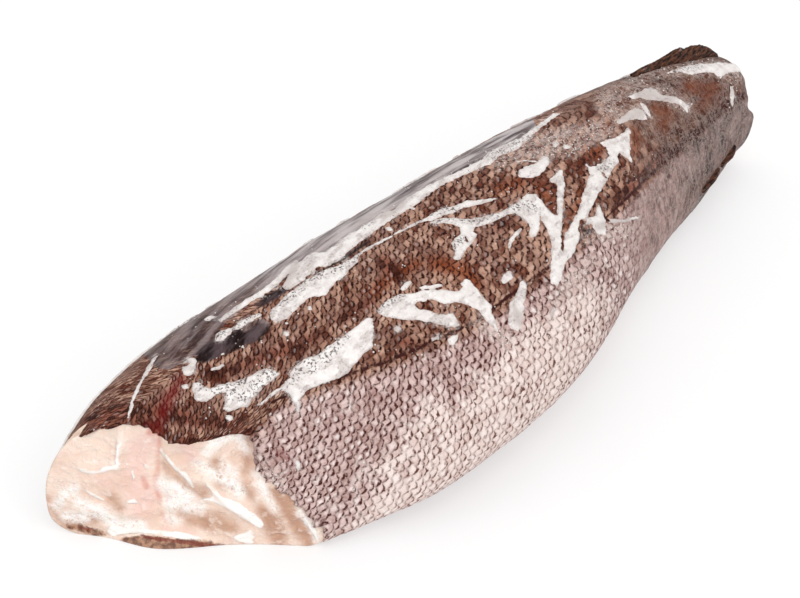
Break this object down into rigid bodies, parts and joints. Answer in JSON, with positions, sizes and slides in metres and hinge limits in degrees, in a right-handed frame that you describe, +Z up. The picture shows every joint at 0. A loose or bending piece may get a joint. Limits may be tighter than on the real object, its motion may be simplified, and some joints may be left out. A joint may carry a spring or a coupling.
{
  "type": "frozen headless hake",
  "caption": "Frozen fish trunk without head and tail fin, lying on its pressed-flat belly, with a slanting head cut that bares the flesh.",
  "frame": {"origin": "centre of the bounding box's underside, on the plane the fish lies on", "axes": "+X from the head cut towards the tail end, +Y towards the right flank, +Z up"},
  "size_m": [0.405, 0.133, 0.0864],
  "materials": {
    "fish_skin": "scaled brown fish skin under a thin ice glaze",
    "cut_flesh": "frozen pale pinkish fish flesh",
    "ice": "white frozen glaze",
    "fin": "dark ragged fin stub"
  },
  "bodies": {
    "root": {"hake_trunk": "fish_skin"}
  },
  "joints": []
}
